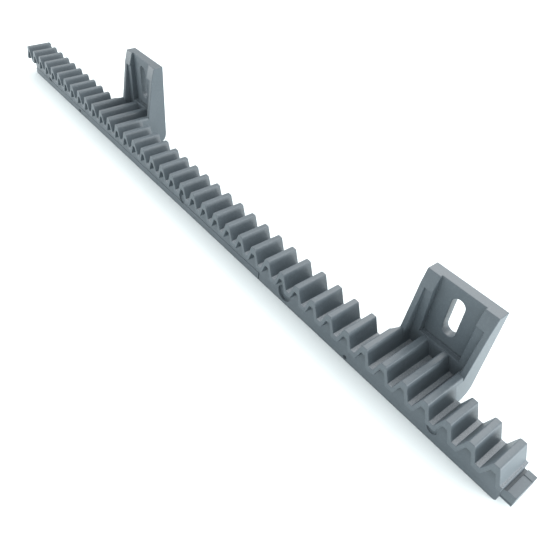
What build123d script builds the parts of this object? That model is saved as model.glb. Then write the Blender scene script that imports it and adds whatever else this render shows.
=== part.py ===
from build123d import *
import os
from math import pi, radians, tan

# Sliding-gate rack section: a toothed nylon moulding with two slotted brackets and a steel bar inside.
# X runs along the rack, from the socket end to the tongue end. Y runs from the toothed strip to the
# brackets' rear faces. Z is up, towards the tooth tips. The origin is at the centre of the bounding box,
# on its floor. The moulding is written as regions that meet face to face, so that each tooth, wall and
# plate is a node.

# Tooth form: standard rack, full-depth teeth
MODULE = 4.0
TOOTH_COUNT = 40
PRESSURE_ANGLE = 20.0
PITCH = pi * MODULE
ADDENDUM = MODULE
DEDENDUM = 1.25 * MODULE
TIP_ROUND = 0.5

# Toothed strip
RACK_LENGTH = TOOTH_COUNT * PITCH
RACK_WIDTH = 20.0
RACK_HEIGHT = 25.0
ROOT_Z = RACK_HEIGHT - ADDENDUM - DEDENDUM
PITCH_LINE_Z = RACK_HEIGHT - ADDENDUM
BAND_BASE_Z = 13.0
SHELL_DEPTH = 4.0
FLANK_WALL = 2.2
RECESS_TOP_Z = 20.2
RECESS_ROUND = 0.8

# Spine under the teeth, and its steel bar
SOCKET_DEPTH = 5.0
SOCKET_POCKET = 1.6
SPINE_END_ROUND = 2.0
CORE_THICKNESS = 3.0
CORE_HEIGHT = 9.0
CORE_BASE_Z = 2.3
CORE_SETBACK = 11.0
CORE_STOP = 4.0

# Marks in the spine's front face
PIN_HOLE_RADIUS = 3.0
PIN_HOLE_Z = 7.7
PIN_HOLE_DEPTH = 0.9
PIN_HOLE_TEETH = (3, 20, 37)
GATE_HOLE_RADIUS = 5.2
GATE_HOLE_Z = 7.6
GATE_HOLE_DEPTH = 1.6
GATE_HOLE_TOOTH = 28.5
DIMPLE_RADIUS = 1.3
DIMPLE_Z = 2.1
DIMPLE_DEPTH = 2.0
DIMPLE_TEETH = (7.5, 32.5)
SEAM_TOOTH = 26.67
SEAM_Z = 5.6
SEAM_WIDTH = 0.8
SEAM_DEPTH = 0.8
SCRIBE_WIDTH = 0.35
SCRIBE_DEPTH = 0.3

# Coupling tongue
TONGUE_REACH = 5.95
TONGUE_BASE_Z = 5.0
TONGUE_TOP_Z = 12.0
TONGUE_STEP_SETBACK = 16.0
TONGUE_GROOVE = 0.7
TONGUE_LIP = 1.2
TONGUE_ROOT_GAP = 1.4
TONGUE_ROOT_DEPTH = 0.8

# Wall brackets
BRACKET_TEETH = {"far": 11, "near": 34}
BRACKET_OFFSET = 0.35
BRACKET_WIDTH = 39.8
BRACKET_TOP_Z = 61.0
BRACKET_BASE_Z = 1.0
BRACKET_REACH = 39.3
FOOT_SETBACK = 30.5
FOOT_ROUND = 8.0
PLATE_TOP_SETBACK = 33.4
PLATE_FOOT_SETBACK = 34.2
SLOT_WIDTH = 7.5
SLOT_LOW_Z = 31.0
SLOT_HIGH_Z = 54.8
FLOOR_WALL = 3.0
GUSSET_WIDTH = 7.7
GUSSET_WALL = 3.0
GUSSET_TOE_SETBACK = 25.4
GUSSET_KNEE_SETBACK = 29.7
GUSSET_KNEE_Z = 52.4
GUSSET_HEAD_SETBACK = 32.1
GUSSET_HEAD_Z = 51.5

# The frame: the far end and the front face of the toothed strip
X_FAR = -(RACK_LENGTH + TONGUE_REACH) / 2
Y_FRONT = -BRACKET_REACH / 2
X_END = X_FAR + RACK_LENGTH
Y_SPINE = Y_FRONT + SHELL_DEPTH
Y_REAR = Y_FRONT + RACK_WIDTH
Y_FOOT = Y_FRONT + FOOT_SETBACK
Y_BACK = Y_FRONT + BRACKET_REACH

SLOPE = tan(radians(PRESSURE_ANGLE))


def front_plane(y):
    """The XZ plane at this y, seen from the front; a negative extrusion goes to the rear."""
    return Plane.XZ.offset(-y)


def tooth_centre(number):
    return X_FAR + (number - 0.5) * PITCH


def half_thickness(z):
    """Half of the tooth's thickness at this height."""
    return PITCH / 4 + (PITCH_LINE_Z - z) * SLOPE


def save(name, builder):
    builder.part.label = name
    export_step(builder.part, f"parts/{name}.step")


def draw_trapezium(x, low, half_low, high, half_high):
    Polygon(
        (x - half_low, low),
        (x + half_low, low),
        (x + half_high, high),
        (x - half_high, high),
        align=None,
    )


def draw_tooth(x):
    """The tooth's section above the root line."""
    draw_trapezium(x, ROOT_Z, half_thickness(ROOT_Z), RACK_HEIGHT, half_thickness(RACK_HEIGHT))


def draw_recess(x, low, high):
    """The hollow inside a tooth's front end, between two heights."""
    draw_trapezium(x, low, half_thickness(low) - FLANK_WALL, high, half_thickness(high) - FLANK_WALL)


# ---- Teeth ----

def bracket_start(first):
    return tooth_centre(first) + BRACKET_OFFSET


def cut_ridge(number):
    """Ends a bracket's outermost ridges at its walls; the first one tapers off to the wall's toe."""
    for first in BRACKET_TEETH.values():
        left_x = bracket_start(first)
        right_x = left_x + BRACKET_WIDTH
        if number == first:
            outline = [
                (left_x - PITCH, Y_REAR),
                (tooth_centre(first) - half_thickness(RACK_HEIGHT), Y_REAR),
                (left_x, Y_FRONT + GUSSET_TOE_SETBACK),
                (left_x, Y_FOOT),
                (left_x - PITCH, Y_FOOT),
            ]
        elif number == first + 3:
            outline = [
                (right_x, Y_REAR),
                (right_x + PITCH, Y_REAR),
                (right_x + PITCH, Y_FOOT),
                (right_x, Y_FOOT),
            ]
        else:
            continue
        with BuildSketch(Plane.XY) as waste:
            Polygon(*outline, align=None)
        extrude(waste.sketch, amount=BRACKET_TOP_Z, mode=Mode.SUBTRACT)


def make_tooth(number):
    """One tooth. A tooth in front of a bracket runs back to the bracket's foot."""
    x = tooth_centre(number)
    in_bracket = any(first <= number <= first + 3 for first in BRACKET_TEETH.values())
    with BuildPart() as tooth:
        with BuildSketch(front_plane(Y_FRONT)):
            draw_tooth(x)
        extrude(amount=-RACK_WIDTH)
        if in_bracket:
            with BuildSketch(front_plane(Y_REAR)):
                draw_tooth(x)
            extrude(amount=-(Y_FOOT - Y_REAR))
        cut_ridge(number)
        tips = tooth.edges().filter_by(Axis.Y).group_by(Axis.Z)[-1]
        fillet(tips, radius=TIP_ROUND)
        with BuildSketch(front_plane(Y_FRONT)) as hollow:
            draw_recess(x, ROOT_Z, RECESS_TOP_Z)
            fillet(hollow.vertices().group_by(Axis.Z)[-1], radius=RECESS_ROUND)
        extrude(amount=-SHELL_DEPTH, mode=Mode.SUBTRACT)
    save(f"tooth_{number:02d}", tooth)


def make_root_band():
    """The strip that carries the teeth; in front of the spine it is open under each tooth."""
    with BuildPart() as band:
        with BuildSketch(Plane.XY.offset(BAND_BASE_Z)):
            with Locations((X_FAR + RACK_LENGTH / 2, Y_FRONT + RACK_WIDTH / 2)):
                Rectangle(RACK_LENGTH, RACK_WIDTH)
        extrude(amount=ROOT_Z - BAND_BASE_Z)
        with BuildSketch(front_plane(Y_FRONT)):
            for number in range(1, TOOTH_COUNT + 1):
                draw_recess(tooth_centre(number), BAND_BASE_Z, ROOT_Z)
        extrude(amount=-SHELL_DEPTH, mode=Mode.SUBTRACT)
    save("root_band", band)


# ---- Spine, steel bar and tongue ----

def core_section():
    with Locations((Y_FRONT + CORE_SETBACK + CORE_THICKNESS / 2, CORE_BASE_Z + CORE_HEIGHT / 2)):
        Rectangle(CORE_THICKNESS, CORE_HEIGHT)


def make_steel_core():
    """The stiffening bar inside the spine, bare only where it ends in the socket."""
    start = X_FAR + SOCKET_DEPTH + SOCKET_POCKET
    with BuildPart() as core:
        with BuildSketch(Plane.YZ.offset(start)):
            core_section()
        extrude(amount=X_END - CORE_STOP - start)
    save("steel_core", core)


def cut_round_mark(teeth, z, radius, depth):
    """A blind round mark in the spine's front face, this many pitches from the far end."""
    with BuildSketch(front_plane(Y_SPINE)) as mark:
        with Locations((X_FAR + teeth * PITCH, z)):
            Circle(radius)
    extrude(mark.sketch, amount=-depth, mode=Mode.SUBTRACT)


def cut_socket(start):
    """The pocket for the next section's tongue, and the space for the steel bar behind it."""
    with BuildSketch(Plane.YZ.offset(start)) as pocket:
        with Locations(((Y_SPINE + Y_REAR) / 2, (TONGUE_BASE_Z + TONGUE_TOP_Z) / 2)):
            Rectangle(Y_REAR - Y_SPINE, TONGUE_TOP_Z - TONGUE_BASE_Z + 1)
    extrude(pocket.sketch, amount=SOCKET_POCKET, mode=Mode.SUBTRACT)
    with BuildSketch(Plane.YZ.offset(start + SOCKET_POCKET)) as channel:
        core_section()
    extrude(channel.sketch, amount=X_END - CORE_STOP - start - SOCKET_POCKET, mode=Mode.SUBTRACT)


def cut_seam(start):
    """An upright groove at the seam, and a thin scribed line from it back to the socket end."""
    seam_x = X_FAR + SEAM_TOOTH * PITCH
    with BuildSketch(front_plane(Y_SPINE)) as seam:
        with Locations((seam_x, SEAM_Z / 2)):
            Rectangle(SEAM_WIDTH, SEAM_Z)
    extrude(seam.sketch, amount=-SEAM_DEPTH, mode=Mode.SUBTRACT)
    with BuildSketch(front_plane(Y_SPINE)) as scribe:
        with Locations(((start + seam_x) / 2, SEAM_Z)):
            Rectangle(seam_x - start, SCRIBE_WIDTH)
    extrude(scribe.sketch, amount=-SCRIBE_DEPTH, mode=Mode.SUBTRACT)


def make_spine():
    """The beam under the teeth, set back from the tooth ends, with marks in its front face."""
    start = X_FAR + SOCKET_DEPTH
    with BuildPart() as spine:
        with BuildSketch(Plane.XY):
            with Locations(((start + X_END) / 2, (Y_SPINE + Y_REAR) / 2)):
                Rectangle(X_END - start, Y_REAR - Y_SPINE)
        extrude(amount=BAND_BASE_Z)
        fillet(spine.edges().filter_by(Axis.Y).group_by(Axis.X)[-1].sort_by(Axis.Z)[0], SPINE_END_ROUND)
        cut_socket(start)
        for teeth in PIN_HOLE_TEETH:
            cut_round_mark(teeth, PIN_HOLE_Z, PIN_HOLE_RADIUS, PIN_HOLE_DEPTH)
        for teeth in DIMPLE_TEETH:
            cut_round_mark(teeth, DIMPLE_Z, DIMPLE_RADIUS, DIMPLE_DEPTH)
        cut_round_mark(GATE_HOLE_TOOTH, GATE_HOLE_Z, GATE_HOLE_RADIUS, GATE_HOLE_DEPTH)
        cut_seam(start)
    save("rack_spine", spine)


def make_tongue():
    """The tongue that slides under the next section's first tooth."""
    middle_z = (TONGUE_BASE_Z + TONGUE_TOP_Z) / 2
    with BuildPart() as tongue:
        with BuildSketch(Plane.YZ.offset(X_END)):
            with Locations(((Y_SPINE + Y_REAR) / 2, middle_z)):
                Rectangle(Y_REAR - Y_SPINE, TONGUE_TOP_Z - TONGUE_BASE_Z)
            with Locations((Y_FRONT + TONGUE_STEP_SETBACK, TONGUE_TOP_Z)):
                Rectangle(TONGUE_GROOVE, TONGUE_GROOVE, mode=Mode.SUBTRACT)
            with Locations((Y_SPINE, TONGUE_BASE_Z + TONGUE_LIP)):
                Rectangle(TONGUE_GROOVE, TONGUE_GROOVE, mode=Mode.SUBTRACT)
        extrude(amount=TONGUE_REACH)
        with BuildSketch(Plane.XY.offset(TONGUE_TOP_Z)):
            with Locations((X_END + TONGUE_ROOT_GAP / 2, (Y_SPINE + Y_REAR) / 2)):
                Rectangle(TONGUE_ROOT_GAP, Y_REAR - Y_SPINE)
        extrude(amount=-TONGUE_ROOT_DEPTH, mode=Mode.SUBTRACT)
    save("coupling_tongue", tongue)


# ---- Brackets ----

def make_plate(side, start):
    """The bracket's upright plate, with its vertical fixing slot."""
    slot_length = SLOT_HIGH_Z - SLOT_LOW_Z
    with BuildPart() as plate:
        with BuildSketch(Plane.YZ.offset(start)):
            Polygon(
                (Y_FRONT + PLATE_FOOT_SETBACK, RACK_HEIGHT),
                (Y_BACK, RACK_HEIGHT),
                (Y_BACK, BRACKET_TOP_Z),
                (Y_FRONT + PLATE_TOP_SETBACK, BRACKET_TOP_Z),
                align=None,
            )
        extrude(amount=BRACKET_WIDTH)
        with BuildSketch(front_plane(Y_FOOT)):
            with Locations((start + BRACKET_WIDTH / 2, (SLOT_LOW_Z + SLOT_HIGH_Z) / 2)):
                SlotOverall(slot_length, SLOT_WIDTH, rotation=90)
        extrude(amount=-(Y_BACK - Y_FOOT), mode=Mode.SUBTRACT)
    save(f"{side}_bracket_plate", plate)


def make_foot(side, start):
    """The thick bar at the plate's foot, rounded under its rear edge."""
    with BuildPart() as foot:
        with BuildSketch(Plane.YZ.offset(start)):
            with Locations(((Y_FOOT + Y_BACK) / 2, (BRACKET_BASE_Z + RACK_HEIGHT) / 2)):
                Rectangle(Y_BACK - Y_FOOT, RACK_HEIGHT - BRACKET_BASE_Z)
        extrude(amount=BRACKET_WIDTH)
        fillet(foot.edges().filter_by(Axis.X).group_by(Axis.Z)[0].sort_by(Axis.Y)[-1], FOOT_ROUND)
    save(f"{side}_bracket_foot", foot)


def make_floor(side, start):
    """The block that joins the foot to the toothed strip, hollow from below."""
    middle = (start + BRACKET_WIDTH / 2, (Y_REAR + Y_FOOT) / 2)
    with BuildPart() as floor:
        with BuildSketch(Plane.XY.offset(BRACKET_BASE_Z)):
            with Locations(middle):
                Rectangle(BRACKET_WIDTH, Y_FOOT - Y_REAR)
        extrude(amount=ROOT_Z - BRACKET_BASE_Z)
        with BuildSketch(Plane.XY.offset(BRACKET_BASE_Z)):
            with Locations(middle):
                Rectangle(BRACKET_WIDTH - 2 * FLOOR_WALL, Y_FOOT - Y_REAR)
        extrude(amount=ROOT_Z - BRACKET_BASE_Z - FLOOR_WALL, mode=Mode.SUBTRACT)
    save(f"{side}_bracket_floor", floor)


def draw_outer_wall():
    """The gusset's outer wall in side view, from the root line up to the plate's top."""
    Polygon(
        (Y_FRONT + GUSSET_TOE_SETBACK, ROOT_Z),
        (Y_FOOT, ROOT_Z),
        (Y_FOOT, RACK_HEIGHT),
        (Y_FRONT + PLATE_FOOT_SETBACK, RACK_HEIGHT),
        (Y_FRONT + PLATE_TOP_SETBACK, BRACKET_TOP_Z),
        (Y_FRONT + GUSSET_HEAD_SETBACK, BRACKET_TOP_Z),
        (Y_FRONT + GUSSET_KNEE_SETBACK, GUSSET_KNEE_Z),
        (Y_FRONT + GUSSET_TOE_SETBACK, RACK_HEIGHT),
        align=None,
    )


def draw_inner_rib():
    """The thick part beside the outer wall: upright up to the head, flush with the wall above."""
    rise = (GUSSET_HEAD_Z - RACK_HEIGHT) / (GUSSET_KNEE_Z - RACK_HEIGHT)
    head_setback = GUSSET_TOE_SETBACK + (GUSSET_KNEE_SETBACK - GUSSET_TOE_SETBACK) * rise
    Polygon(
        (Y_FOOT, RACK_HEIGHT),
        (Y_FRONT + PLATE_FOOT_SETBACK, RACK_HEIGHT),
        (Y_FRONT + PLATE_TOP_SETBACK, BRACKET_TOP_Z),
        (Y_FRONT + GUSSET_HEAD_SETBACK, BRACKET_TOP_Z),
        (Y_FRONT + GUSSET_KNEE_SETBACK, GUSSET_KNEE_Z),
        (Y_FRONT + head_setback, GUSSET_HEAD_Z),
        (Y_FOOT, GUSSET_HEAD_Z),
        align=None,
    )


def make_gusset(side, wall, outer_x, inward, first):
    """One side wall of the bracket; inward is +1 where the bracket lies on its +X side."""
    with BuildPart() as gusset:
        with BuildSketch(Plane.YZ.offset(outer_x)):
            draw_outer_wall()
        extrude(amount=inward * GUSSET_WALL)
        with BuildSketch(Plane.YZ.offset(outer_x + inward * GUSSET_WALL)):
            draw_inner_rib()
        extrude(amount=inward * (GUSSET_WIDTH - GUSSET_WALL))
        with BuildSketch(front_plane(Y_REAR)):
            for number in range(first, first + 4):
                draw_tooth(tooth_centre(number))
        extrude(amount=-(Y_FOOT - Y_REAR), mode=Mode.SUBTRACT)
    save(f"{side}_bracket_{wall}_gusset", gusset)


# ---- Write every node ----

os.makedirs("parts", exist_ok=True)
for tooth_number in range(1, TOOTH_COUNT + 1):
    make_tooth(tooth_number)
make_root_band()
make_steel_core()
make_spine()
make_tongue()
for side_name, first_tooth in BRACKET_TEETH.items():
    left_x = bracket_start(first_tooth)
    make_plate(side_name, left_x)
    make_foot(side_name, left_x)
    make_floor(side_name, left_x)
    make_gusset(side_name, "left", left_x, 1, first_tooth)
    make_gusset(side_name, "right", left_x + BRACKET_WIDTH, -1, first_tooth)
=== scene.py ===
from math import cos, pi, radians, sin, tan

import bmesh
import bpy
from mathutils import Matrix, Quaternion, Vector


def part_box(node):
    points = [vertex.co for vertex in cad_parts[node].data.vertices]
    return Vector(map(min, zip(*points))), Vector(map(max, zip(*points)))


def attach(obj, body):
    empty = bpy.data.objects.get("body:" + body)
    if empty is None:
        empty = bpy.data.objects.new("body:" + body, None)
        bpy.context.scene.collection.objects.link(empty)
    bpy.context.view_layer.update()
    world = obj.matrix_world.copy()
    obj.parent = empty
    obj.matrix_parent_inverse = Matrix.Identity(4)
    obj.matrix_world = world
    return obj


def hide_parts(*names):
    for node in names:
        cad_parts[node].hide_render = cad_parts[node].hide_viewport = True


# Sliding-gate rack section in dark grey nylon: forty teeth, two slotted brackets, a coupling tongue and a
# steel bar. X runs along the rack to the tongue, Y from the tooth ends to the brackets' rear faces, Z up.
# Units are metres.

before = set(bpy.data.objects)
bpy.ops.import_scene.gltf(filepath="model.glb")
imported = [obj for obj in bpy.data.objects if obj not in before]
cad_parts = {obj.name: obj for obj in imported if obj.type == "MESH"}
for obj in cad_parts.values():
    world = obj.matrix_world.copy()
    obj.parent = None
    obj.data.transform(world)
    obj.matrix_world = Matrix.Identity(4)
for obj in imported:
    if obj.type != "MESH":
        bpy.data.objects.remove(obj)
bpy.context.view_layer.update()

MM = 0.001

# ---- Dimensions read from the frame ----

band_low, band_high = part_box("root_band")
spine_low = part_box("rack_spine")[0]
tongue_low, tongue_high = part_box("coupling_tongue")

X_FAR = band_low.x
X_END = band_high.x
X_SPINE = spine_low.x
Y_FRONT = band_low.y
Y_SPINE = spine_low.y
Y_REAR = band_high.y
BAND_BASE_Z = band_low.z
ROOT_Z = band_high.z
TIP_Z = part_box("tooth_02")[1].z
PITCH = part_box("tooth_03")[0].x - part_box("tooth_02")[0].x
TOOTH_COUNT = round((X_END - X_FAR) / PITCH)

# ---- Tooth form ----

PITCH_LINE_Z = TIP_Z - PITCH / pi
PRESSURE_ANGLE = radians(20)
SLOPE = tan(PRESSURE_ANGLE)
TIP_ROUND = 0.9 * MM
ROOT_ROUND = 0.5 * MM
FLANK_WALL = 2.2 * MM
RECESS_TOP_Z = 20.2 * MM
RECESS_ROUND = 0.5 * MM
RIM_ROUND = 0.4 * MM
EDGE_ROUND = 0.35 * MM
WEB_FILLET = 0.35 * MM
END_ROUND = 0.25 * MM
ARC_STEPS = 5
EDGE_STEPS = 3

# ---- Marks in the spine ----

MARK_LIP = 0.3 * MM
MARK_SIDES = 40
PIN_HOLE_TEETH = (3, 20, 37)
PIN_HOLE_RADIUS = 3.0 * MM
PIN_HOLE_Z = 7.7 * MM
PIN_HOLE_DEPTH = 0.9 * MM
GATE_HOLE_TOOTH = 28.5
GATE_HOLE_RADIUS = 5.2 * MM
GATE_HOLE_Z = 7.6 * MM
GATE_HOLE_DEPTH = 1.6 * MM
DIMPLE_TEETH = (7.5, 32.5)
DIMPLE_RADIUS = 1.3 * MM
DIMPLE_Z = 2.1 * MM
DIMPLE_DEPTH = 2.0 * MM
SEAM_TOOTH = 26.67
SEAM_Z = 5.6 * MM
SEAM_SIZE = 0.8 * MM
SCRIBE_SIZE = 0.35 * MM
SOCKET_POCKET = 1.6 * MM
SPINE_END_ROUND = 2.0 * MM

# ---- Tongue ----

TONGUE_STEP_Y = Y_FRONT + 16.0 * MM
TONGUE_GROOVE = 0.7 * MM
TONGUE_LIP_Z = tongue_low.z + 1.2 * MM
TONGUE_ROOT_GAP = 1.4 * MM
TONGUE_ROOT_DEPTH = 0.8 * MM
TONGUE_EDGE = 0.15 * MM

# ---- Brackets ----

BRACKETS = {"far": 11, "near": 34}
BRACKET_BASE_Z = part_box("near_bracket_foot")[0].z
FOOT_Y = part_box("near_bracket_foot")[0].y
PLATE_FOOT_Y = Y_FRONT + 34.2 * MM
PLATE_TOP_Y = Y_FRONT + 33.4 * MM
FOOT_ROUND = 8.0 * MM
FLOOR_WALL = 3.0 * MM
SLOT_WIDTH = 7.5 * MM
SLOT_Z = (31.0 * MM, 54.8 * MM)
SLOT_STEPS = 16
GUSSET_WIDTH = 7.7 * MM
GUSSET_WALL = 3.0 * MM
GUSSET_TOE_Y = Y_FRONT + 25.4 * MM
GUSSET_KNEE_Y = Y_FRONT + 29.7 * MM
GUSSET_KNEE_Z = 52.4 * MM
GUSSET_HEAD_Y = Y_FRONT + 32.1 * MM
GUSSET_HEAD_Z = 51.5 * MM
BRACKET_EDGE = 0.4 * MM
LEDGE_LINE = 0.6 * MM
FOOT_STEPS = 10

# ---- Shared allowances ----

CLEAR = 1.0 * MM
NEAR_ENOUGH = 0.01 * MM
SHARP_ANGLE = radians(38)

# ---- Surfaces: tones are linear colours, grains are noise scales per metre ----

NYLON_DARK = (0.067, 0.087, 0.101)
NYLON_LIGHT = (0.082, 0.103, 0.118)
NYLON_SPECKLE = (0.104, 0.129, 0.145)
# Paler root-land tone: partly a real eroded grain, partly a painted highlight on the up-facing lands.
NYLON_ROOT_GRAIN_AND_HIGHLIGHT = (0.180, 0.205, 0.225)
CLOUD_GRAIN = 35
SPECKLE_GRAIN = 900
BUMP_GRAIN = 2600
STREAK_GRAIN = 3200
STREAK_STRETCH = (1, 0.4, 1)
BUMP_STRENGTH = 0.25
BUMP_HEIGHT = 0.05 * MM
ROOT_BAND = 0.2 * MM
STEEL_DARK = (0.42, 0.43, 0.45)
STEEL_LIGHT = (0.62, 0.63, 0.65)
BRUSH_GRAIN = 2500
BRUSH_STRETCH = (0.02, 1, 1)
FLOOR_DARK = (0.86, 0.93, 0.94)
FLOOR_LIGHT = (0.88, 0.95, 0.96)
FLOOR_GRAIN = 6

# ---- Floor, light and camera; each softbox has a place, a target, a size and a power ----

FLOOR_HALF = 4.0
WORLD_STRENGTH = 1.38
SOFTBOXES = {
    "rear_softbox": ((0.0, 0.5, 0.62), (0.18, 0, 0), (0.5, 0.5), 4),
    "front_strip": ((-0.6, -0.45, 0.1), (-0.2, 0, 0.01), (0.45, 0.16), 2.1),
    "side_strip": ((0.75, 0.12, 0.11), (0.2, 0.01, 0.03), (0.4, 0.16), 4.5),
}
CAMERA_PLACE = Vector((0.26613, -0.17635, 0.23128))
CAMERA_TARGET = Vector((0.0877, -0.0134, 0.012))
CAMERA_ROLL = radians(5.8)
CAMERA_LENS = 37.88
CAMERA_SENSOR = 36


# ---- Outlines ----

def tooth_centre(number):
    return X_FAR + (number - 0.5) * PITCH


def half_thickness(z):
    """Half of a tooth's thickness at this height."""
    return PITCH / 4 + (PITCH_LINE_Z - z) * SLOPE


def arc(centre, start, turn, steps):
    """Points on the arc that begins at start and turns about the centre by this angle."""
    ray = Vector(start) - Vector(centre)
    points = []
    for step in range(steps + 1):
        angle = turn * step / steps
        x = ray.x * cos(angle) - ray.y * sin(angle)
        y = ray.x * sin(angle) + ray.y * cos(angle)
        points.append((centre[0] + x, centre[1] + y))
    return points


def rounded(corners, steps=ARC_STEPS):
    """The outline through (x, y, radius) corners, with an arc at each corner that has a radius."""
    points = []
    for index, (x, y, radius) in enumerate(corners):
        if radius == 0:
            points.append((x, y))
            continue
        corner = Vector((x, y))
        before = Vector(corners[index - 1][:2]) - corner
        after = Vector(corners[(index + 1) % len(corners)][:2]) - corner
        before.normalize()
        after.normalize()
        half_angle = before.angle(after) / 2
        start = corner + before * (radius / tan(half_angle))
        centre = corner + (before + after).normalized() * (radius / sin(half_angle))
        side = before.x * after.y - before.y * after.x
        turn = (pi - 2 * half_angle) * (-1 if side > 0 else 1)
        points.extend(arc(centre, start, turn, steps))
    return points


def shifted(points, distances):
    """The open outline moved to its left by the distance at each point; its ends stay on their own x."""
    moved = []
    for index, (x, y) in enumerate(points):
        if index in (0, len(points) - 1):
            moved.append((x, y + distances[index]))
            continue
        before = (Vector((x, y)) - Vector(points[index - 1])).normalized()
        after = (Vector(points[index + 1]) - Vector((x, y))).normalized()
        left = Vector((-before.y - after.y, before.x + after.x)).normalized()
        reach = distances[index] / max(left.dot(Vector((-before.y, before.x))), 0.5)
        moved.append((x + left.x * reach, y + left.y * reach))
    return moved


def quarter(steps=EDGE_STEPS):
    """(along, aside) pairs for a quarter-round edge of radius 1, from (0, 1) to (1, 0)."""
    return [(1 - cos(pi / 2 * k / steps), 1 - sin(pi / 2 * k / steps)) for k in range(steps + 1)]


def toothed_line():
    """The rack's upper outline, from the far end to the tongue end."""
    corners = [(X_FAR, ROOT_Z, 0)]
    for number in range(1, TOOTH_COUNT + 1):
        x = tooth_centre(number)
        corners.append((x - half_thickness(ROOT_Z), ROOT_Z, ROOT_ROUND))
        corners.append((x - half_thickness(TIP_Z), TIP_Z, TIP_ROUND))
        corners.append((x + half_thickness(TIP_Z), TIP_Z, TIP_ROUND))
        corners.append((x + half_thickness(ROOT_Z), ROOT_Z, ROOT_ROUND))
    corners.append((X_END, ROOT_Z, 0))
    return rounded(corners)


def shell_line():
    """The lower outline of the shell in front of the spine, with a recess up into each tooth."""
    corners = [(X_FAR, BAND_BASE_Z, 0)]
    for number in range(1, TOOTH_COUNT + 1):
        x = tooth_centre(number)
        low = half_thickness(BAND_BASE_Z) - FLANK_WALL
        high = half_thickness(RECESS_TOP_Z) - FLANK_WALL
        corners.append((x - low, BAND_BASE_Z, RIM_ROUND))
        corners.append((x - high, RECESS_TOP_Z, RECESS_ROUND))
        corners.append((x + high, RECESS_TOP_Z, RECESS_ROUND))
        corners.append((x + low, BAND_BASE_Z, RIM_ROUND))
    corners.append((X_END, BAND_BASE_Z, 0))
    return rounded(corners)


# ---- Mesh helpers ----

def new_piece(name, mesh):
    piece = bpy.data.objects.new(name, mesh)
    bpy.context.scene.collection.objects.link(piece)
    return piece


def mesh_from(bm, name):
    bmesh.ops.recalc_face_normals(bm, faces=bm.faces)
    mesh = bpy.data.meshes.new(name)
    bm.to_mesh(mesh)
    bm.free()
    return mesh


def skin(rows):
    """A closed solid through rows of equally many points, each joined to the next and round again."""
    bm = bmesh.new()
    grid = [[bm.verts.new(point) for point in row] for row in rows]
    for row, following in zip(grid, grid[1:] + grid[:1]):
        for k in range(len(row) - 1):
            bm.faces.new((row[k], row[k + 1], following[k + 1], following[k]))
    bm.faces.new([row[0] for row in grid])
    bm.faces.new([row[-1] for row in reversed(grid)])
    bmesh.ops.remove_doubles(bm, verts=bm.verts, dist=NEAR_ENOUGH / 10)
    return bm


def prism_x(outline, low, high):
    """A prism along X; the outline's points are (y, z)."""
    return [[(low, y, z) for y, z in outline], [(high, y, z) for y, z in outline]]


def prism_y(outline, low, high):
    """A prism along Y; the outline's points are (x, z)."""
    return [[(x, low, z) for x, z in outline], [(x, high, z) for x, z in outline]]


def loft(rings):
    """A closed solid through rings of equally many points, capped at both ends."""
    bm = bmesh.new()
    grid = [[bm.verts.new(point) for point in ring] for ring in rings]
    count = len(rings[0])
    for ring, following in zip(grid, grid[1:]):
        for k in range(count):
            bm.faces.new((ring[k], ring[(k + 1) % count], following[(k + 1) % count], following[k]))
    bm.faces.new(list(reversed(grid[0])))
    bm.faces.new(grid[-1])
    return bm


def carve(piece, rings, operation="DIFFERENCE"):
    """Cuts the solid through these rings out of the piece, or joins it on with UNION."""
    cutter = new_piece("cutter", mesh_from(loft(rings), "cutter"))
    cut = piece.modifiers.new("cut", "BOOLEAN")
    cut.operation = operation
    cut.solver = "EXACT"
    cut.object = cutter
    carved = bpy.data.meshes.new_from_object(piece.evaluated_get(bpy.context.evaluated_depsgraph_get()))
    piece.modifiers.remove(cut)
    piece.data = carved
    bpy.data.objects.remove(cutter)


def on_plane(edge, axis, value):
    """Whether both ends of the edge have this coordinate on this axis."""
    return all(abs(v.co[axis] - value) < NEAR_ENOUGH for v in edge.verts)


def soften(piece, chosen, radius, segments=3):
    """Rounds the edges that chosen accepts."""
    bm = bmesh.new()
    bm.from_mesh(piece.data)
    bmesh.ops.dissolve_limit(bm, angle_limit=radians(0.3), verts=bm.verts, edges=bm.edges)
    edges = [edge for edge in bm.edges if len(edge.link_faces) == 2 and chosen(edge)]
    bmesh.ops.bevel(bm, geom=edges, offset=radius, segments=segments, profile=0.5, affect="EDGES")
    bm.to_mesh(piece.data)
    bm.free()


def finish_surface(piece, material):
    """Smooth shading over the rounded edges, with flat faces kept flat."""
    piece.data.shade_smooth()
    piece.data.set_sharp_from_angle(angle=SHARP_ANGLE)
    weighted = piece.modifiers.new("flat faces", "WEIGHTED_NORMAL")
    weighted.keep_sharp = True
    piece.data.materials.clear()
    piece.data.materials.append(material)


# ---- The toothed strip and its spine ----

def bracket_start(side):
    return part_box(f"{side}_bracket_plate")[0].x


def bracket_end(side):
    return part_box(f"{side}_bracket_plate")[1].x


def rear_round(x):
    """The rear edge is rounded, except on the teeth that run on into a bracket."""
    for side in BRACKETS:
        if bracket_start(side) - PITCH / 2 < x < bracket_end(side) + PITCH / 2:
            return 0
    return EDGE_ROUND


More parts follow.
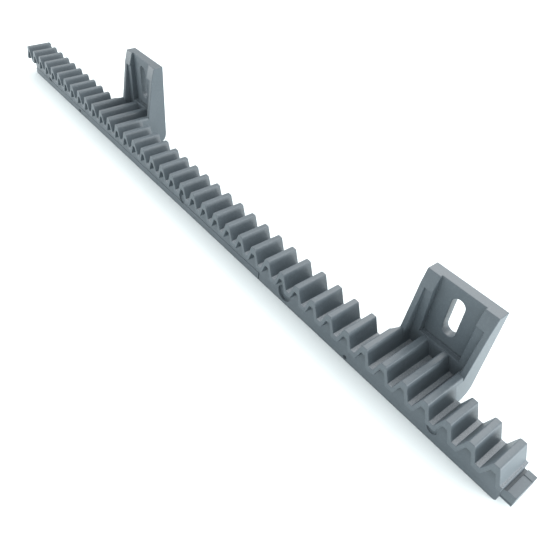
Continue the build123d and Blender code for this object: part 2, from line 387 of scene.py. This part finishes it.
def rack_rows():
    """Rows along the rack, once round its section: front, teeth, rear, underside, web and recesses."""
    outer = toothed_line()
    inner = shell_line()
    rear = [rear_round(x) for x, z in outer]
    rows = []
    for along, aside in quarter():
        rim = shifted(outer, [-EDGE_ROUND * aside] * len(outer))
        rows.append([(x, Y_FRONT + EDGE_ROUND * along, z) for x, z in rim])
    for along, aside in reversed(quarter()):
        rim = shifted(outer, [-radius * aside for radius in rear])
        rows.append([(x, Y_REAR - radius * along, z) for (x, z), radius in zip(rim, rear)])
    for along, aside in quarter():
        rows.append([(x, Y_REAR - EDGE_ROUND * along, EDGE_ROUND * aside) for x, z in outer])
    for along, aside in reversed(quarter()):
        rows.append([(x, Y_SPINE + EDGE_ROUND * along, EDGE_ROUND * aside) for x, z in inner])
    for along, aside in quarter():
        fillet = shifted(inner, [-WEB_FILLET * aside] * len(inner))
        rows.append([(x, Y_SPINE - WEB_FILLET * along, z) for x, z in fillet])
    for along, aside in reversed(quarter()):
        rim = shifted(inner, [EDGE_ROUND * aside] * len(inner))
        rows.append([(x, Y_FRONT + EDGE_ROUND * along, z) for x, z in rim])
    return rows


def ring_xz(x, z, radius, y):
    """A circle of points round (x, z) at this y."""
    turns = [2 * pi * k / MARK_SIDES for k in range(MARK_SIDES)]
    return [(x + radius * cos(turn), y, z + radius * sin(turn)) for turn in turns]


def blind_hole(x, z, radius, depth):
    """Rings of a blind hole into the spine's front face, with a soft mouth and a rounded bottom."""
    return [
        ring_xz(x, z, radius + MARK_LIP, Y_SPINE - CLEAR),
        ring_xz(x, z, radius + MARK_LIP, Y_SPINE),
        ring_xz(x, z, radius + MARK_LIP * 0.3, Y_SPINE + MARK_LIP * 0.3),
        ring_xz(x, z, radius, Y_SPINE + MARK_LIP),
        ring_xz(x, z, radius, Y_SPINE + depth - MARK_LIP),
        ring_xz(x, z, radius - MARK_LIP * 0.3, Y_SPINE + depth - MARK_LIP * 0.3),
        ring_xz(x, z, radius - MARK_LIP, Y_SPINE + depth),
    ]


def rectangle(low, high):
    """The corners of a rectangle, given two opposite ones."""
    return [(low[0], low[1]), (high[0], low[1]), (high[0], high[1]), (low[0], high[1])]


def box_rings(low, high):
    return prism_y(rectangle((low[0], low[2]), (high[0], high[2])), low[1], high[1])


def end_corner():
    """The waste at the spine's lower corner at the tongue end, whose round it leaves."""
    round_start = (X_END, SPINE_END_ROUND)
    centre = (X_END - SPINE_END_ROUND, SPINE_END_ROUND)
    outline = arc(centre, round_start, -pi / 2, 8)
    outline.append((X_END - SPINE_END_ROUND, -CLEAR))
    outline.append((X_END + CLEAR, -CLEAR))
    outline.append((X_END + CLEAR, SPINE_END_ROUND))
    return prism_y(outline, Y_SPINE - CLEAR, Y_REAR + CLEAR)


def carve_spine(rack):
    """The socket, round marks and lines that interrupt the spine."""
    carve(rack, box_rings((X_FAR - CLEAR, Y_SPINE - CLEAR / 2, -CLEAR),
                          (X_SPINE, Y_REAR + CLEAR, BAND_BASE_Z - NEAR_ENOUGH)))
    carve(rack, box_rings((X_SPINE - CLEAR, Y_SPINE - CLEAR / 2, tongue_low.z - CLEAR / 2),
                          (X_SPINE + SOCKET_POCKET, Y_REAR + CLEAR, tongue_high.z + CLEAR / 2)))
    core_low, core_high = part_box("steel_core")
    carve(rack, box_rings((X_SPINE, core_low.y, core_low.z), (core_high.x, core_high.y, core_high.z)))
    carve(rack, end_corner())
    marks = [(teeth, PIN_HOLE_Z, PIN_HOLE_RADIUS, PIN_HOLE_DEPTH) for teeth in PIN_HOLE_TEETH]
    marks.append((GATE_HOLE_TOOTH, GATE_HOLE_Z, GATE_HOLE_RADIUS, GATE_HOLE_DEPTH))
    marks += [(teeth, DIMPLE_Z, DIMPLE_RADIUS, DIMPLE_DEPTH) for teeth in DIMPLE_TEETH]
    for teeth, z, radius, depth in marks:
        carve(rack, blind_hole(X_FAR + teeth * PITCH, z, radius, depth))
    seam_x = X_FAR + SEAM_TOOTH * PITCH
    carve(rack, box_rings((seam_x - SEAM_SIZE / 2, Y_SPINE - CLEAR, -CLEAR),
                          (seam_x + SEAM_SIZE / 2, Y_SPINE + SEAM_SIZE, SEAM_Z)))
    carve(rack, box_rings((X_SPINE - CLEAR, Y_SPINE - CLEAR, SEAM_Z - SCRIBE_SIZE / 2),
                          (seam_x, Y_SPINE + SCRIBE_SIZE, SEAM_Z + SCRIBE_SIZE / 2)))


def round_ends(bm):
    """A small round on the edges of both end faces."""
    edges = [edge for edge in bm.edges if on_plane(edge, 0, X_END) or on_plane(edge, 0, X_FAR)]
    bmesh.ops.bevel(bm, geom=edges, offset=END_ROUND, segments=2, profile=0.5, affect="EDGES")


def make_rack(material):
    bm = skin(rack_rows())
    round_ends(bm)
    rack = new_piece("rack_moulding", mesh_from(bm, "rack_moulding"))
    carve_spine(rack)
    finish_surface(rack, material)
    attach(rack, "root")
    teeth = [f"tooth_{number:02d}" for number in range(1, TOOTH_COUNT + 1)]
    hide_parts("root_band", "rack_spine", *teeth)


# ---- The coupling tongue ----

def is_tongue_edge(edge):
    """Sharp edges of the tongue, apart from its joint with the rack."""
    return edge.calc_face_angle() > radians(40) and not on_plane(edge, 0, X_END)


def make_tongue(material):
    half = TONGUE_GROOVE / 2
    outline = [
        (tongue_low.y, tongue_low.z),
        (tongue_high.y, tongue_low.z),
        (tongue_high.y, tongue_high.z),
        (TONGUE_STEP_Y + half, tongue_high.z),
        (TONGUE_STEP_Y + half, tongue_high.z - half),
        (TONGUE_STEP_Y - half, tongue_high.z - half),
        (TONGUE_STEP_Y - half, tongue_high.z),
        (tongue_low.y, tongue_high.z),
        (tongue_low.y, TONGUE_LIP_Z + half),
        (tongue_low.y + half, TONGUE_LIP_Z + half),
        (tongue_low.y + half, TONGUE_LIP_Z - half),
        (tongue_low.y, TONGUE_LIP_Z - half),
    ]
    body = loft(prism_x(outline, X_END, tongue_high.x))
    tongue = new_piece("coupling_tongue_shape", mesh_from(body, "tongue"))
    carve(tongue, box_rings((X_END - CLEAR, tongue_low.y - CLEAR, tongue_high.z - TONGUE_ROOT_DEPTH),
                            (X_END + TONGUE_ROOT_GAP, tongue_high.y + CLEAR, tongue_high.z + CLEAR)))
    soften(tongue, is_tongue_edge, TONGUE_EDGE, 2)
    finish_surface(tongue, material)
    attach(tongue, "root")
    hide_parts("coupling_tongue")


# ---- The brackets ----

def side_outline(back_y, top_z):
    """The bracket's side view, from its floor at the rack's rear face up to the plate's top."""
    return rounded([
        (Y_REAR, BRACKET_BASE_Z, 0),
        (back_y, BRACKET_BASE_Z, FOOT_ROUND),
        (back_y, top_z, 0),
        (GUSSET_HEAD_Y, top_z, 0),
        (GUSSET_KNEE_Y, GUSSET_KNEE_Z, 0),
        (GUSSET_TOE_Y, TIP_Z, 0),
        (Y_REAR, TIP_Z, 0),
    ], steps=FOOT_STEPS)


def plate_front(z):
    """The plate leans: this is its front face's y at a height."""
    share = (z - TIP_Z) / (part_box("near_bracket_plate")[1].z - TIP_Z)
    return PLATE_FOOT_Y + (PLATE_TOP_Y - PLATE_FOOT_Y) * share


def pocket(start, end, top_z):
    """The space between the side walls, in front of the plate."""
    above = top_z + CLEAR
    outline = rectangle((start + GUSSET_WIDTH, TIP_Z), (end - GUSSET_WIDTH, above))
    return [[(x, Y_REAR - CLEAR, z) for x, z in outline], [(x, plate_front(z), z) for x, z in outline]]


def flank_height(x, middle):
    """The height of the toothed outline at this x, beside the middle of a gap."""
    height = PITCH_LINE_Z + (abs(x - middle) - PITCH / 4) / SLOPE
    return min(max(height, ROOT_Z), TIP_Z)


def gap_outline(number, low_x, high_x):
    """The gap after this tooth, open above and kept between two x; None where nothing is left of it."""
    middle = tooth_centre(number) + PITCH / 2
    line = [(x, z) for x, z in toothed_line() if abs(x - middle) < PITCH / 2 and low_x < x < high_x]
    if not line:
        return None
    above = TIP_Z + CLEAR
    if middle - PITCH / 2 < low_x:
        line.insert(0, (low_x, flank_height(low_x, middle)))
    if high_x < middle + PITCH / 2:
        line.append((high_x, flank_height(high_x, middle)))
    return line + [(line[-1][0], above), (line[0][0], above)]


def ridge_wedge(first, start):
    """The wedge that tapers from a bracket's first tooth to the toe of its left wall."""
    rings = []
    inside = start + CLEAR
    for left, y in ((tooth_centre(first) - half_thickness(TIP_Z), Y_REAR), (start, GUSSET_TOE_Y)):
        outline = rounded([
            (left, ROOT_Z, 0),
            (left, TIP_Z, TIP_ROUND),
            (inside, TIP_Z, 0),
            (inside, ROOT_Z, 0),
        ])
        rings.append([(x, y, z) for x, z in outline])
    return rings


def ledge_line(start, end, y):
    """A fine raised line along the ledge at the plate's foot."""
    half = LEDGE_LINE / 2
    outline = rectangle((y - half, TIP_Z - half), (y + half, TIP_Z + half))
    return prism_x(outline, start + GUSSET_WIDTH, end - GUSSET_WIDTH)


def slot_outline(x):
    radius = SLOT_WIDTH / 2
    top = arc((x, SLOT_Z[1] - radius), (x + radius, SLOT_Z[1] - radius), pi, SLOT_STEPS)
    bottom = arc((x, SLOT_Z[0] + radius), (x - radius, SLOT_Z[0] + radius), pi, SLOT_STEPS)
    return top + bottom


def is_bracket_edge(edge):
    """Sharp outer edges of a bracket, apart from its joint with the rack and the ridges that enter it."""
    if edge.calc_face_angle_signed() < radians(30) or on_plane(edge, 1, Y_REAR):
        return False
    return not all(v.co.z < TIP_Z + NEAR_ENOUGH and v.co.y < FOOT_Y + NEAR_ENOUGH for v in edge.verts)


def carve_gaps(bracket, first, start, end):
    """Runs the gaps of four teeth back into the bracket, as far as its foot between the outer walls."""
    for number in range(first, first + 4):
        whole = gap_outline(number, start - PITCH, end + PITCH)
        carve(bracket, prism_y(whole, Y_REAR - CLEAR, GUSSET_TOE_Y))
        between = gap_outline(number, start + GUSSET_WALL, end - GUSSET_WALL)
        if between:
            carve(bracket, prism_y(between, Y_REAR - CLEAR, FOOT_Y))


def carve_bracket(bracket, first, start, end, back_y, top_z):
    """The space between the walls, the gaps, the slot and the hollow under the floor."""
    carve(bracket, pocket(start, end, top_z))
    carve(bracket, box_rings((start + GUSSET_WALL, Y_REAR - CLEAR, TIP_Z),
                             (end - GUSSET_WALL, FOOT_Y, GUSSET_HEAD_Z)))
    carve_gaps(bracket, first, start, end)
    carve(bracket, prism_y(slot_outline((start + end) / 2), FOOT_Y, back_y + CLEAR))
    carve(bracket, box_rings((start + FLOOR_WALL, Y_REAR - CLEAR, -CLEAR),
                             (end - FLOOR_WALL, FOOT_Y, ROOT_Z - FLOOR_WALL)))


def make_bracket(side, first, material):
    plate_low, plate_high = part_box(f"{side}_bracket_plate")
    start, end, top_z, back_y = plate_low.x, plate_high.x, plate_high.z, plate_high.y
    body = loft(prism_x(side_outline(back_y, top_z), start, end))
    bracket = new_piece(f"{side}_bracket", mesh_from(body, f"{side}_bracket"))
    carve_bracket(bracket, first, start, end, back_y, top_z)
    soften(bracket, is_bracket_edge, BRACKET_EDGE)
    carve(bracket, ridge_wedge(first, start), "UNION")
    for y in (FOOT_Y + LEDGE_LINE, PLATE_FOOT_Y - LEDGE_LINE):
        carve(bracket, ledge_line(start, end, y), "UNION")
    finish_surface(bracket, material)
    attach(bracket, "root")
    parts = ("plate", "foot", "floor", "left_gusset", "right_gusset")
    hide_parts(*[f"{side}_bracket_{part}" for part in parts])


# ---- Materials ----

def material_with_nodes(name):
    material = bpy.data.materials.new(name)
    material.use_nodes = True
    nodes = material.node_tree.nodes
    return material, nodes, material.node_tree.links, nodes["Principled BSDF"]


def add_noise(nodes, links, vector, scale, detail):
    noise = nodes.new("ShaderNodeTexNoise")
    noise.inputs["Scale"].default_value = scale
    noise.inputs["Detail"].default_value = detail
    links.new(vector, noise.inputs["Vector"])
    return noise.outputs["Fac"]


def add_range(nodes, links, value, to_low, to_high, from_low=0.0, from_high=1.0):
    spread = nodes.new("ShaderNodeMapRange")
    spread.inputs["From Min"].default_value = from_low
    spread.inputs["From Max"].default_value = from_high
    spread.inputs["To Min"].default_value = to_low
    spread.inputs["To Max"].default_value = to_high
    links.new(value, spread.inputs["Value"])
    return spread.outputs["Result"]


def add_mix(nodes, links, factor, first, second):
    """Mixes two colours, each either a plain colour or another node's output."""
    mix = nodes.new("ShaderNodeMix")
    mix.data_type = "RGBA"
    links.new(factor, mix.inputs["Factor"])
    for socket, colour in ((mix.inputs[6], first), (mix.inputs[7], second)):
        if isinstance(colour, tuple):
            socket.default_value = (*colour, 1)
        else:
            links.new(colour, socket)
    return mix.outputs[2]


def add_product(nodes, links, first, second):
    product = nodes.new("ShaderNodeMath")
    product.operation = "MULTIPLY"
    links.new(first, product.inputs[0])
    links.new(second, product.inputs[1])
    return product.outputs["Value"]


def add_root_grain_and_highlight(nodes, links, coordinates):
    """A mask for the root lands, where the surface faces up: streaky grain across the rack, partly a real
    eroded texture and partly a painted highlight on the up-facing lands.
    """
    place = coordinates.outputs["Object"]
    parts = nodes.new("ShaderNodeSeparateXYZ")
    links.new(place, parts.inputs["Vector"])
    level = nodes.new("ShaderNodeMath")
    level.operation = "COMPARE"
    level.inputs[1].default_value = ROOT_Z
    level.inputs[2].default_value = ROOT_BAND
    links.new(parts.outputs["Z"], level.inputs[0])
    stretch = nodes.new("ShaderNodeMapping")
    stretch.inputs["Scale"].default_value = STREAK_STRETCH
    links.new(place, stretch.inputs["Vector"])
    grain = add_noise(nodes, links, stretch.outputs["Vector"], STREAK_GRAIN, 3)
    root_grain_and_highlight = add_range(nodes, links, grain, 0.35, 1, 0.35, 0.65)
    facing = nodes.new("ShaderNodeSeparateXYZ")
    links.new(coordinates.outputs["Normal"], facing.inputs["Vector"])
    # Only surfaces that face up get the paler tone: a painted highlight of light from above.
    upward = add_range(nodes, links, facing.outputs["Z"], 0, 1, 0.7, 0.95)
    return add_product(nodes, links, add_product(nodes, links, level.outputs["Value"], upward), root_grain_and_highlight)


def nylon_material():
    """Satin moulded nylon: fine grain, soft cloudy tone, and root lands painted paler, partly for their
    real eroded grain and partly as a painted highlight where they face up.
    """
    material, nodes, links, shader = material_with_nodes("grey_nylon")
    coordinates = nodes.new("ShaderNodeTexCoord")
    place = coordinates.outputs["Object"]
    cloud = add_noise(nodes, links, place, CLOUD_GRAIN, 3)
    grain = add_noise(nodes, links, place, BUMP_GRAIN, 2)
    speckle = add_noise(nodes, links, place, SPECKLE_GRAIN, 2)
    clouds = add_range(nodes, links, cloud, 0, 1, 0.3, 0.7)
    tone = add_mix(nodes, links, clouds, NYLON_DARK, NYLON_LIGHT)
    speckles = add_range(nodes, links, speckle, 0, 0.5, 0.5, 0.75)
    tone = add_mix(nodes, links, speckles, tone, NYLON_SPECKLE)
    # Root lands painted paler: real grain plus a painted highlight where they face up.
    root_grain_and_highlight = add_root_grain_and_highlight(nodes, links, coordinates)
    tone = add_mix(nodes, links, root_grain_and_highlight, tone, NYLON_ROOT_GRAIN_AND_HIGHLIGHT)
    links.new(tone, shader.inputs["Base Color"])
    links.new(add_range(nodes, links, speckle, 0.36, 0.5), shader.inputs["Roughness"])
    bump = nodes.new("ShaderNodeBump")
    bump.inputs["Strength"].default_value = BUMP_STRENGTH
    bump.inputs["Distance"].default_value = BUMP_HEIGHT
    links.new(grain, bump.inputs["Height"])
    links.new(bump.outputs["Normal"], shader.inputs["Normal"])
    return material


def steel_material():
    """Cold-drawn steel, brushed along its length."""
    material, nodes, links, shader = material_with_nodes("brushed_steel")
    place = nodes.new("ShaderNodeTexCoord").outputs["Object"]
    stretch = nodes.new("ShaderNodeMapping")
    stretch.inputs["Scale"].default_value = BRUSH_STRETCH
    links.new(place, stretch.inputs["Vector"])
    strokes = add_noise(nodes, links, stretch.outputs["Vector"], BRUSH_GRAIN, 4)
    tone = add_mix(nodes, links, strokes, STEEL_DARK, STEEL_LIGHT)
    links.new(tone, shader.inputs["Base Color"])
    links.new(add_range(nodes, links, strokes, 0.28, 0.48), shader.inputs["Roughness"])
    shader.inputs["Metallic"].default_value = 1.0
    return material


def paint_steel_core():
    """The steel bar keeps its CAD shape."""
    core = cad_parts["steel_core"]
    core.data.materials.clear()
    core.data.materials.append(steel_material())


def floor_material():
    """Matt white paper with a very faint mottle."""
    material, nodes, links, shader = material_with_nodes("white_floor")
    place = nodes.new("ShaderNodeTexCoord").outputs["Object"]
    mottle = add_noise(nodes, links, place, FLOOR_GRAIN, 3)
    tone = add_mix(nodes, links, mottle, FLOOR_DARK, FLOOR_LIGHT)
    links.new(tone, shader.inputs["Base Color"])
    shader.inputs["Roughness"].default_value = 0.9
    shader.inputs["Specular IOR Level"].default_value = 0.1
    return material


# ---- Floor, light and camera ----

def make_floor():
    bm = bmesh.new()
    corners = rectangle((-FLOOR_HALF, -FLOOR_HALF), (FLOOR_HALF, FLOOR_HALF))
    bm.faces.new([bm.verts.new((x, y, 0)) for x, y in corners])
    mesh = bpy.data.meshes.new("floor")
    bm.to_mesh(mesh)
    bm.free()
    floor = new_piece("floor", mesh)
    floor.data.materials.append(floor_material())


def add_softbox(name, place, target, size, power):
    """A rectangular area light; size is its width and height."""
    data = bpy.data.lights.new(name, "AREA")
    data.shape = "RECTANGLE"
    data.size, data.size_y = size
    data.energy = power
    light = bpy.data.objects.new(name, data)
    light.location = place
    light.rotation_euler = (Vector(target) - Vector(place)).to_track_quat("-Z", "Y").to_euler()
    bpy.context.scene.collection.objects.link(light)


def light_scene():
    world = bpy.data.worlds.new("white_studio")
    world.use_nodes = True
    world.node_tree.nodes["Background"].inputs["Color"].default_value = (1, 1, 1, 1)
    world.node_tree.nodes["Background"].inputs["Strength"].default_value = WORLD_STRENGTH
    bpy.context.scene.world = world
    bpy.context.scene.view_settings.view_transform = "Standard"
    for name, (place, target, size, power) in SOFTBOXES.items():
        add_softbox(name, place, target, size, power)


def place_camera():
    camera = bpy.data.objects.new("camera", bpy.data.cameras.new("camera"))
    aim = (CAMERA_TARGET - CAMERA_PLACE).to_track_quat("-Z", "Y")
    camera.rotation_euler = (aim @ Quaternion((0, 0, 1), CAMERA_ROLL)).to_euler()
    camera.location = CAMERA_PLACE
    camera.data.lens = CAMERA_LENS
    camera.data.sensor_width = CAMERA_SENSOR
    camera.data.clip_start = 0.01
    bpy.context.scene.collection.objects.link(camera)
    bpy.context.scene.camera = camera


nylon = nylon_material()
make_rack(nylon)
make_tongue(nylon)
for side_name, first_tooth in BRACKETS.items():
    make_bracket(side_name, first_tooth, nylon)
paint_steel_core()
make_floor()
light_scene()
place_camera()
